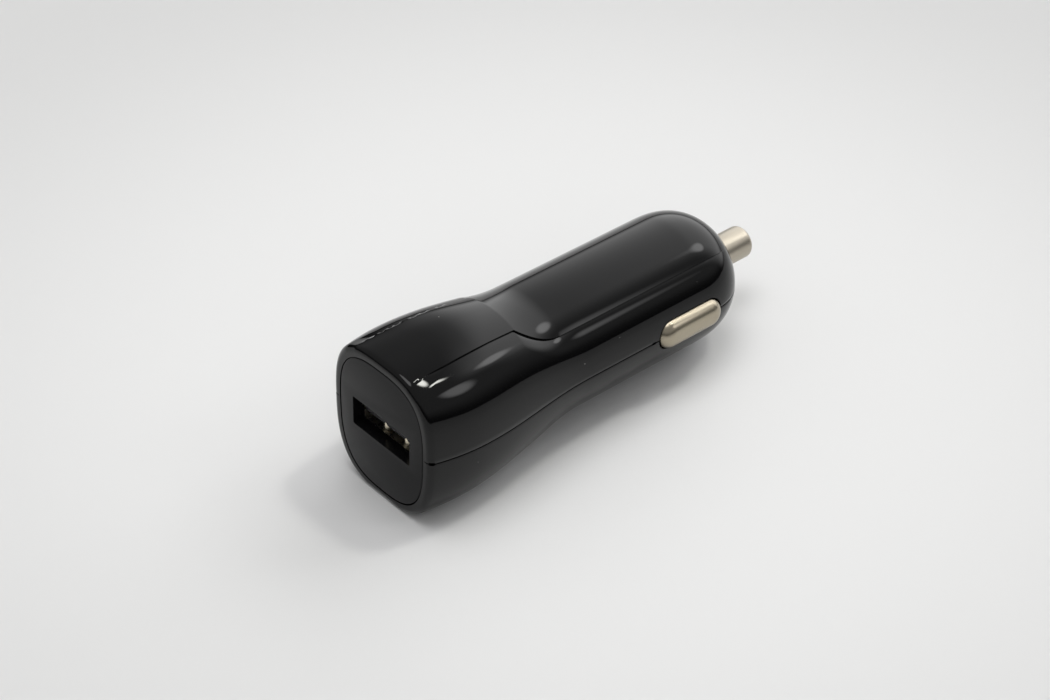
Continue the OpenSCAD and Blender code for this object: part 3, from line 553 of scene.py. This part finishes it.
def capsule(name, radius, near, far, side):
    """A capsule-ended block over a side contact's place, from near to far off the axis"""
    middle = (CONTACT_POS * MM, side * (near + far) / 2 * MM, 0)
    bpy.ops.mesh.primitive_cylinder_add(vertices=CAPSULE_SIDES, radius=radius * MM,
                                        depth=(far - near) * MM, location=middle,
                                        rotation=(-side * pi / 2, 0, 0))
    piece = bpy.context.object
    piece.name = name
    settle(piece)
    half_step = pi / CAPSULE_SIDES
    for vertex in piece.data.vertices:
        turned = Matrix.Rotation(half_step, 3, "Y") @ (vertex.co - Vector((CONTACT_POS, 0, 0)) * MM)
        turned.x += CONTACT_HALF_RUN * MM * (1 if turned.x > 0 else -1)
        vertex.co = turned + Vector((CONTACT_POS, 0, 0)) * MM
    return piece


for half in (upper, lower):
    for side in (-1, 1):
        cut(half, capsule("slot_cutter", CONTACT_R + SLOT_GAP, BORE_R / 2, BARREL_R + 3, side))

# Nicks in the parting line: one before each side contact, and one in the rim on each side
NICKS = (((8.8, BARREL_R), (0.8, 1.2, 0.4)), ((-GRIP_LEN + 0.3, FACE_HALF_W), (0.9, 0.7, 0.5)))
for half in (upper, lower):
    for side in (-1, 1):
        for (x, y), size in NICKS:
            bpy.ops.mesh.primitive_cube_add(size=1, location=Vector((x, side * y, 0)) * MM)
            nick = bpy.context.object
            nick.scale = Vector(size) * MM
            settle(nick)
            cut(half, nick)

BOSS_R, BOSS_SINK = 1.1, 0.3
PEG_R, PEG_LEN, PEG_ROOT = 0.55, 1.4, 0.5
BOSS_STATIONS = (10, 22)
POST_R = 1
POST_Y = 4
POST_STATIONS = (7, 24.8, 38, 50)
BOARD_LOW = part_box("circuit_board")[0][2] / MM


def skin_z(height, n, s, y):
    """Middle of the wall above or below a point of the parting plane"""
    depth = height(s) - WALL / 2
    return depth * max(1 - (abs(y) / (half_w(s) - WALL / 2)) ** n(s), 0) ** (1 / n(s))


upper_parts, lower_parts = [upper], [lower]
for s in BOSS_STATIONS:
    for side in (-1, 1):
        x, y = s - GRIP_LEN, side * (half_w(s) - WALL - BOSS_R + BOSS_SINK)
        roof = skin_z(top_h, top_n, s, abs(y) + BOSS_R)
        keel = skin_z(low_h, low_n, s, abs(y) + BOSS_R)
        upper_parts.append(post(BOSS_R, (x, y, 0), (x, y, roof)))
        lower_parts.append(post(BOSS_R, (x, y, 0), (x, y, -keel)))
        lower_parts.append(post(PEG_R, (x, y, -PEG_ROOT), (x, y, PEG_LEN)))
for s in POST_STATIONS:
    for side in (-1, 1):
        x, y = s - GRIP_LEN, side * POST_Y
        keel = skin_z(low_h, low_n, s, POST_Y + POST_R)
        lower_parts.append(post(POST_R, (x, y, -keel), (x, y, BOARD_LOW)))
upper = join(upper_parts, "upper_half")
lower = join(lower_parts, "lower_half")


def object_coordinates(nodes):
    return nodes.new("ShaderNodeTexCoord").outputs["Object"]


def noise(nodes, links, scale, detail=3):
    texture = nodes.new("ShaderNodeTexNoise")
    texture.inputs["Scale"].default_value = scale
    texture.inputs["Detail"].default_value = detail
    links.new(object_coordinates(nodes), texture.inputs["Vector"])
    return texture.outputs["Fac"]


def ranged(nodes, links, value, low, high):
    """Spreads a noise's middle range between two values"""
    spread_node = nodes.new("ShaderNodeMapRange")
    spread_node.inputs["From Min"].default_value = 0.3
    spread_node.inputs["From Max"].default_value = 0.7
    spread_node.inputs["To Min"].default_value = low
    spread_node.inputs["To Max"].default_value = high
    links.new(value, spread_node.inputs["Value"])
    return spread_node.outputs["Result"]


def shades(nodes, links, value, dark, light):
    mix = nodes.new("ShaderNodeMix")
    mix.data_type = "RGBA"
    mix.inputs["A"].default_value = (*dark, 1)
    mix.inputs["B"].default_value = (*light, 1)
    links.new(value, mix.inputs["Factor"])
    return mix


def bumped(nodes, links, shader, height, depth):
    bump = nodes.new("ShaderNodeBump")
    bump.inputs["Strength"].default_value = 1
    bump.inputs["Distance"].default_value = depth * MM
    links.new(height, bump.inputs["Height"])
    links.new(bump.outputs["Normal"], shader.inputs["Normal"])


DUST_CELLS = 420
DUST_SIZE = 0.03
DUST_SHARE = 0.86
DUST_COLOUR = (0.3, 0.3, 0.29)


def plastic(name, dark, light, smooth_low, smooth_high, wave=0.002, grain=300, dusty=False,
            shine=0.5):
    """Moulded plastic: faint cloudiness, a gloss that varies, slight waves, and dust if asked"""
    material, nodes, links, shader = new_material(name)
    colour = shades(nodes, links, noise(nodes, links, grain * 0.6), dark, light)
    if dusty:
        cells = nodes.new("ShaderNodeTexVoronoi")
        cells.inputs["Scale"].default_value = DUST_CELLS
        links.new(object_coordinates(nodes), cells.inputs["Vector"])
        near = nodes.new("ShaderNodeMath")
        near.operation = "LESS_THAN"
        near.inputs[1].default_value = DUST_SIZE
        links.new(cells.outputs["Distance"], near.inputs[0])
        split = nodes.new("ShaderNodeSeparateColor")
        links.new(cells.outputs["Color"], split.inputs["Color"])
        chosen = nodes.new("ShaderNodeMath")
        chosen.operation = "GREATER_THAN"
        chosen.inputs[1].default_value = DUST_SHARE
        links.new(split.outputs["Red"], chosen.inputs[0])
        speck = nodes.new("ShaderNodeMath")
        speck.operation = "MULTIPLY"
        links.new(near.outputs["Value"], speck.inputs[0])
        links.new(chosen.outputs["Value"], speck.inputs[1])
        dusted = shades(nodes, links, speck.outputs["Value"], dark, DUST_COLOUR)
        links.new(colour.outputs["Result"], dusted.inputs["A"])
        colour = dusted
    links.new(colour.outputs["Result"], shader.inputs["Base Color"])
    links.new(ranged(nodes, links, noise(nodes, links, grain, 5), smooth_low, smooth_high),
              shader.inputs["Roughness"])
    shader.inputs["Specular IOR Level"].default_value = shine
    bumped(nodes, links, shader, noise(nodes, links, grain * 1.3, 2), wave)
    return material


gloss_black = plastic("polished_black", (0.002, 0.002, 0.0022), (0.003, 0.003, 0.0032), 0.03, 0.06,
                      wave=0.001, dusty=True, shine=0.28)
for half, node in ((upper, "upper_shell"), (lower, "lower_shell")):
    half.data.materials.clear()
    half.data.materials.append(gloss_black)
    smooth(half)
    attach(half, "housing")
    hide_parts(node)


# The face plate: a black plate moulded apart, dropped on a ledge inside the rim of the
# housing, with the mouth for the plug cut through it.
PLATE_GAP_INSET = 1.5
PLATE_T = 2
PLATE_EDGE = 0.22
MOUTH_W, MOUTH_H, MOUTH_Z, MOUTH_EDGE = 12.5, 4.8, -0.55, 0.2
PLATE_POINTS = 180

bpy.ops.mesh.primitive_circle_add(vertices=PLATE_POINTS, radius=1, fill_type="NGON")
plate = bpy.context.object
plate.name = "face_plate_cap"
for index, vertex in enumerate(plate.data.vertices):
    angle = 360 * index / PLATE_POINTS
    fold = min(angle, 360 - angle)
    radius = side_r(0, fold, PLATE_GAP_INSET) if angle <= 180 else low_r(0, fold, PLATE_GAP_INSET)
    turn = radians(angle)
    vertex.co = Vector((-GRIP_LEN, -radius * cos(turn), radius * sin(turn))) * MM
bpy.ops.object.mode_set(mode="EDIT")
bpy.ops.mesh.select_all(action="SELECT")
bpy.ops.mesh.extrude_region_move(TRANSFORM_OT_translate={"value": (PLATE_T * MM, 0, 0)})
bpy.ops.mesh.select_all(action="SELECT")
bpy.ops.mesh.normals_make_consistent(inside=False)
bpy.ops.object.mode_set(mode="OBJECT")


def rounded_edges(piece, width, segments=3, angle=40):
    keep_only(piece)
    bevel = piece.modifiers.new("rounded", "BEVEL")
    bevel.width = width * MM
    bevel.segments = segments
    bevel.limit_method = "ANGLE"
    bevel.angle_limit = radians(angle)
    bpy.ops.object.modifier_apply(modifier=bevel.name)


def block(name, low, high):
    """A cube primitive stretched between two corners, in millimetres"""
    low, high = Vector(low) * MM, Vector(high) * MM
    bpy.ops.mesh.primitive_cube_add(size=1, location=(low + high) / 2)
    piece = bpy.context.object
    piece.name = name
    piece.scale = high - low
    settle(piece)
    return piece


rounded_edges(plate, PLATE_EDGE, 4)
mouth = block("mouth_cutter", (-GRIP_LEN - 1, -MOUTH_W / 2, MOUTH_Z - MOUTH_H / 2),
              (-GRIP_LEN + PLATE_T + 1, MOUTH_W / 2, MOUTH_Z + MOUTH_H / 2))
rounded_edges(mouth, MOUTH_EDGE)
cut(plate, mouth)
smooth(plate)
face_black = plastic("satin_black", (0.004, 0.004, 0.0045), (0.007, 0.007, 0.0075), 0.16, 0.24,
                     wave=0.003, grain=600, shine=0.15)
plate.data.materials.append(face_black)
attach(plate, "housing")
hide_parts("face_plate")


# The port: a folded shell of tinned steel behind the plate, with a black tongue moulded in
# one with the block that shuts its rear, and four gilt strips that end in rounded bumps.
TONGUE_X, TONGUE_LOW, TONGUE_TOP, TONGUE_HALF_W = -32.3, -1.03, 1.29, 5.55
TONGUE_ROOT, TONGUE_EDGE, HOLDER_EDGE = 1, 0.15, 0.1
STRIP_YS = (-3.5, -1, 1, 3.5)
STRIP_T = 0.25
BLOCK_LEN, LEG_RUN = 3.6, 1.2
BUMP_R, BUMP_DEEP, BUMP_SINK = 0.5, 0.9, 0.1
BUMP_XS = (-31.9, -30.2, -31.9, -30.2)


def metal(name, dark, light, smooth_low, smooth_high, grain=500, depth=0.002):
    """Metal: a tone and a gloss that vary, and a fine uneven surface"""
    material, nodes, links, shader = new_material(name)
    tone = shades(nodes, links, noise(nodes, links, grain), dark, light)
    links.new(tone.outputs["Result"], shader.inputs["Base Color"])
    shader.inputs["Metallic"].default_value = 1
    links.new(ranged(nodes, links, noise(nodes, links, grain * 2, 5), smooth_low, smooth_high),
              shader.inputs["Roughness"])
    bumped(nodes, links, shader, noise(nodes, links, grain * 4, 2), depth)
    return material


def finish_nodes(material, *names):
    for name in names:
        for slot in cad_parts[name].material_slots:
            slot.material = material


finish_nodes(metal("tinned_steel", (0.55, 0.53, 0.48), (0.7, 0.68, 0.62), 0.22, 0.35), "usb_shell")
block_low, block_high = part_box("usb_tongue")
rear = block_high[0] / MM
tongue = block("tongue_blade", (TONGUE_X, -TONGUE_HALF_W, TONGUE_LOW),
               (rear - TONGUE_ROOT, TONGUE_HALF_W, TONGUE_TOP))
rounded_edges(tongue, TONGUE_EDGE)
holder = block("tongue_holder", (rear - BLOCK_LEN, block_low[1] / MM, block_low[2] / MM),
               [place / MM for place in block_high])
rounded_edges(holder, HOLDER_EDGE, 2)
tongue = join([tongue, holder], "port_tongue")
# The moulding's colour is painted a lighter grey than black plastic: a painted highlight that stands in for light
# falling on the tongue inside the mouth.
painted_lit_moulding = plastic("painted_lit_moulding", (0.05, 0.05, 0.053), (0.065, 0.065, 0.068), 0.12, 0.18,
                        grain=900)
tongue.data.materials.append(painted_lit_moulding)
smooth(tongue)
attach(tongue, "housing")
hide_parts("usb_tongue")

gilt = metal("gilt_strip", (0.86, 0.78, 0.6), (0.93, 0.86, 0.7), 0.45, 0.55)
for index, (y, bump_x) in enumerate(zip(STRIP_YS, BUMP_XS)):
    node = f"usb_contact_{index + 1}"
    low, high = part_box(node)
    near, far, foot = bump_x - BUMP_R / 2, high[0] / MM, low[2] / MM
    left, right = low[1] / MM, high[1] / MM
    leg = far - LEG_RUN
    run = block("strip_run", (near, left, TONGUE_LOW - STRIP_T), (leg, right, TONGUE_LOW))
    riser = block("strip_riser", (leg - STRIP_T, left, foot), (leg, right, TONGUE_LOW))
    toe = block("strip_toe", (leg - STRIP_T, left, foot), (far, right, foot + STRIP_T))
    bpy.ops.mesh.primitive_uv_sphere_add(segments=24, ring_count=16, radius=1,
                                         location=Vector((bump_x, y, TONGUE_LOW - BUMP_SINK)) * MM)
    bump = bpy.context.object
    bump.scale = Vector((BUMP_R, BUMP_R, BUMP_DEEP)) * MM
    settle(bump)
    strip = join([run, riser, toe, bump], f"gilt_strip_{index + 1}")
    strip.data.materials.append(gilt)
    smooth(strip)
    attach(strip, "housing")
    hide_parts(node)


# The side contacts: two nickel caps drawn from sheet, which stand through slots in the
# barrel, are kept in by a flange inside, and give way on a spring across the barrel.
CONTACT_CROWN = 11.65
CONTACT_LIP_R = 8.4
CONTACT_EDGE = 2
CONTACT_SHEET = 0.45
LIP_W = 0.6
# The side contacts' nickel is painted a little darker and warmer than the pin's: a shaded copy of the same nickel.
nickel = metal("shaded_warm_nickel", (0.37, 0.325, 0.25), (0.42, 0.375, 0.29), 0.26, 0.3, grain=90,
               depth=0.00002)


def spine_way(point):
    """Direction from a side contact's middle line to a point of its outline"""
    x = point.x / MM - CONTACT_POS
    nearest = min(max(x, -CONTACT_HALF_RUN), CONTACT_HALF_RUN)
    return Vector((x - nearest, 0, point.z / MM)).normalized()


for side, name in ((-1, "right"), (1, "left")):
    contact = capsule(name + "_contact_cap", CONTACT_R, CONTACT_LIP_R, CONTACT_CROWN, side)
    bpy.ops.object.mode_set(mode="EDIT")
    bpy.ops.mesh.select_all(action="DESELECT")
    bpy.ops.object.mode_set(mode="OBJECT")
    base = CONTACT_LIP_R * MM + 1e-6
    for face in contact.data.polygons:
        face.select = all(abs(contact.data.vertices[i].co.y) < base for i in face.vertices)
    bpy.ops.object.mode_set(mode="EDIT")
    bpy.ops.mesh.select_mode(type="FACE")
    bpy.ops.mesh.delete(type="ONLY_FACE")
    bpy.ops.mesh.select_mode(type="EDGE")
    bpy.ops.mesh.select_all(action="DESELECT")
    bpy.ops.object.mode_set(mode="OBJECT")
    crown = CONTACT_CROWN * MM - 1e-6
    for edge in contact.data.edges:
        edge.select = all(abs(contact.data.vertices[i].co.y) > crown for i in edge.vertices)
    bpy.ops.object.mode_set(mode="EDIT")
    bpy.ops.mesh.bevel(offset=CONTACT_EDGE * MM, segments=10, affect="EDGES")
    bpy.ops.mesh.select_all(action="DESELECT")
    bpy.ops.mesh.select_non_manifold()
    bpy.ops.mesh.extrude_edges_move()
    bpy.ops.object.mode_set(mode="OBJECT")
    for vertex in contact.data.vertices:
        if vertex.select:
            vertex.co += spine_way(vertex.co) * LIP_W * MM
    bpy.ops.object.mode_set(mode="EDIT")
    bpy.ops.mesh.select_all(action="SELECT")
    bpy.ops.mesh.normals_make_consistent(inside=False)
    bpy.ops.object.mode_set(mode="OBJECT")
    wall = contact.modifiers.new("wall", "SOLIDIFY")
    wall.thickness = CONTACT_SHEET * MM
    wall.offset = -1
    bpy.ops.object.modifier_apply(modifier=wall.name)
    contact.data.materials.append(nickel)
    smooth(contact, 35)
    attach(contact, name + "_contact")
    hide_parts(name + "_side_contact")


# The centre contact: a turned nickel pin in the nose, held by a flange inside, with a
# short spigot that carries the end of its spring.
PIN_R = 2.6
PIN_END = 38
PIN_ROUND = 0.9
STEM_R, STEM_END = 2.3, 31.5
FLANGE_BACK, FLANGE_R, FLANGE_T = 27.15, 4.1, 1.2
SPIGOT_R = 2.35
FLANGE_EDGE, SPIGOT_EDGE, SHOULDER_EDGE = 0.15, 0.2, 0.1
LATHE_SIDES = 96


def turned(name, profile):
    """A lathe form round the axis from (x, radius) pairs, closed where the radius is nil"""
    def place(row, column):
        x, radius = profile[row]
        turn = 2 * pi * (column % LATHE_SIDES) / LATHE_SIDES
        return (x, radius * cos(turn), radius * sin(turn))
    return fitted_grid(name, len(profile), LATHE_SIDES + 1, place)


def corner(x, radius, round_x, round_r, count=6):
    """A rounded outer corner of a lathe profile, up to (x, radius)"""
    return [(x - round_x + round_x * sin(a), radius - round_r + round_r * cos(a))
            for a in spread(0, pi / 2, count)]


spigot_end, flange_front = FLANGE_BACK - FLANGE_T, FLANGE_BACK + FLANGE_T
pin_profile = [(spigot_end, 0), (spigot_end, SPIGOT_R - SPIGOT_EDGE),
               (spigot_end + SPIGOT_EDGE, SPIGOT_R), (FLANGE_BACK, SPIGOT_R),
               (FLANGE_BACK, FLANGE_R - FLANGE_EDGE), (FLANGE_BACK + FLANGE_EDGE, FLANGE_R)]
pin_profile += corner(flange_front, FLANGE_R, FLANGE_EDGE, FLANGE_EDGE, 2)
pin_profile += [(flange_front, STEM_R), (STEM_END, STEM_R), (STEM_END, PIN_R - SHOULDER_EDGE),
                (STEM_END + SHOULDER_EDGE, PIN_R)]
pin_profile += corner(PIN_END, PIN_R, PIN_ROUND, PIN_ROUND, 10) + [(PIN_END, 0)]
pin = turned("centre_contact_pin", pin_profile)
# The pin's nickel is painted a little lighter than the side contacts': a lit copy of the same nickel, and it is
# also rougher.
painted_lit_nickel = metal("painted_lit_nickel", (0.41, 0.37, 0.305), (0.46, 0.42, 0.35), 0.32, 0.38,
                      grain=90, depth=0.00002)
pin.data.materials.append(painted_lit_nickel)
smooth(pin, 35)
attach(pin, "tip")
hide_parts("tip_contact")


# The springs: plain steel wire, with a closed turn at each end.
WIRE_SIDES = 10
TURN_STEPS = 20
CLOSED_RISE = 1.04
spring_steel = metal("spring_wire", (0.4, 0.4, 0.41), (0.58, 0.58, 0.59), 0.25, 0.4, grain=900)


def spring(name, outer_r, wire, turns, length, carry):
    """A compression spring of closed end turns, from 0 to length, put in place by carry"""
    end_rise = wire * CLOSED_RISE
    pitch = (length - wire - 2 * end_rise) / (turns - 2)
    steps = round(turns * TURN_STEPS)

    def height(turn):
        if turn < 1:
            return end_rise * turn
        if turn > turns - 1:
            return length - wire - end_rise * (turns - turn)
        return end_rise + pitch * (turn - 1)

    def place(row, column):
        step = min(max(row - 1, 0), steps)
        turn = step / TURN_STEPS
        around = 2 * pi * (column % WIRE_SIDES) / WIRE_SIDES
        thickness = 0 if row in (0, steps + 2) else wire / 2
        radius = outer_r - wire / 2 + thickness * cos(around)
        return carry(radius * cos(2 * pi * turn), radius * sin(2 * pi * turn),
                     wire / 2 + height(turn) + thickness * sin(around))

    coil = fitted_grid(name, steps + 3, WIRE_SIDES + 1, place)
    coil.data.materials.append(spring_steel)
    smooth(coil, 60)
    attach(coil, "housing")
    return coil


PLAY = 0.05
TIP_SEAT, TIP_TRAVEL = 20.5, 3
TIP_COIL_R, TIP_WIRE, TIP_TURNS = 3, 0.5, 5
SIDE_SEAT, SIDE_TRAVEL = 0.3, 1.2
SIDE_COIL_R, SIDE_WIRE, SIDE_TURNS = 1.5, 0.35, 8
tip_length = FLANGE_BACK - TIP_SEAT - 2 * PLAY
tip_coil = spring("centre_contact_spring", TIP_COIL_R, TIP_WIRE, TIP_TURNS, tip_length,
                  lambda a, b, c: (TIP_SEAT + PLAY + c, b, a))
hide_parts("tip_spring")
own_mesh(tip_coil)
roof_r = CONTACT_EDGE - CONTACT_SHEET
roof_drop = roof_r - sqrt(roof_r ** 2 - (SIDE_COIL_R + CONTACT_EDGE - CONTACT_R) ** 2)
side_length = CONTACT_CROWN - CONTACT_SHEET - roof_drop - PLAY - SIDE_SEAT
for side, name in ((-1, "right"), (1, "left")):
    side_coil = spring(name + "_contact_spring", SIDE_COIL_R, SIDE_WIRE, SIDE_TURNS, side_length,
                       lambda a, b, c: (CONTACT_POS + a, side * (SIDE_SEAT + c), b))
    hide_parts(name + "_side_spring")
    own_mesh(side_coil)


# The board and what it carries: a green laminate on posts of the lower half, two folded
# brass strips under the springs, a fuse, two capacitors, a choke and the regulator.
solder_mask = plastic("solder_mask", (0.012, 0.09, 0.035), (0.02, 0.13, 0.05), 0.25, 0.35, grain=500)
finish_nodes(solder_mask, "circuit_board")
brass = metal("folded_brass", (0.7, 0.55, 0.28), (0.82, 0.66, 0.36), 0.2, 0.35)
finish_nodes(brass, "tip_spring_seat", "ground_strap")
sleeve = plastic("shrunk_sleeve", (0.02, 0.02, 0.035), (0.03, 0.03, 0.05), 0.2, 0.3)
finish_nodes(sleeve, "input_capacitor")
drawn_can = metal("drawn_can", (0.7, 0.7, 0.72), (0.8, 0.8, 0.82), 0.2, 0.3)
finish_nodes(drawn_can, "output_capacitor")
epoxy = plastic("moulded_epoxy", (0.015, 0.015, 0.015), (0.025, 0.025, 0.025), 0.45, 0.6, grain=900)
finish_nodes(epoxy, "output_capacitor_base", "regulator_body", "rectifier_diode",
             "chip_resistor_1", "chip_resistor_2", "chip_resistor_3")
ferrite = plastic("pressed_ferrite", (0.035, 0.035, 0.036), (0.055, 0.055, 0.056), 0.5, 0.7, grain=1200)
finish_nodes(ferrite, "choke_core")
copper = metal("lacquered_copper", (0.6, 0.28, 0.12), (0.78, 0.38, 0.18), 0.25, 0.35)
finish_nodes(copper, "choke_winding")
tin_plate = metal("tin_plate", (0.6, 0.6, 0.6), (0.72, 0.72, 0.72), 0.25, 0.4)
finish_nodes(tin_plate, "regulator_leads")
fuse_laminate = plastic("fuse_laminate", (0.03, 0.11, 0.045), (0.05, 0.16, 0.065), 0.35, 0.5)
finish_nodes(fuse_laminate, "input_fuse")
ceramic = plastic("fired_ceramic", (0.3, 0.21, 0.12), (0.42, 0.3, 0.18), 0.45, 0.6, grain=900)
finish_nodes(ceramic, "chip_capacitor_1", "chip_capacitor_2", "chip_capacitor_3")

deselect()
size = {"cad": [list(corner_) for corner_ in cad_bounds], "visual": [list(corner_) for corner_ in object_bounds()]}
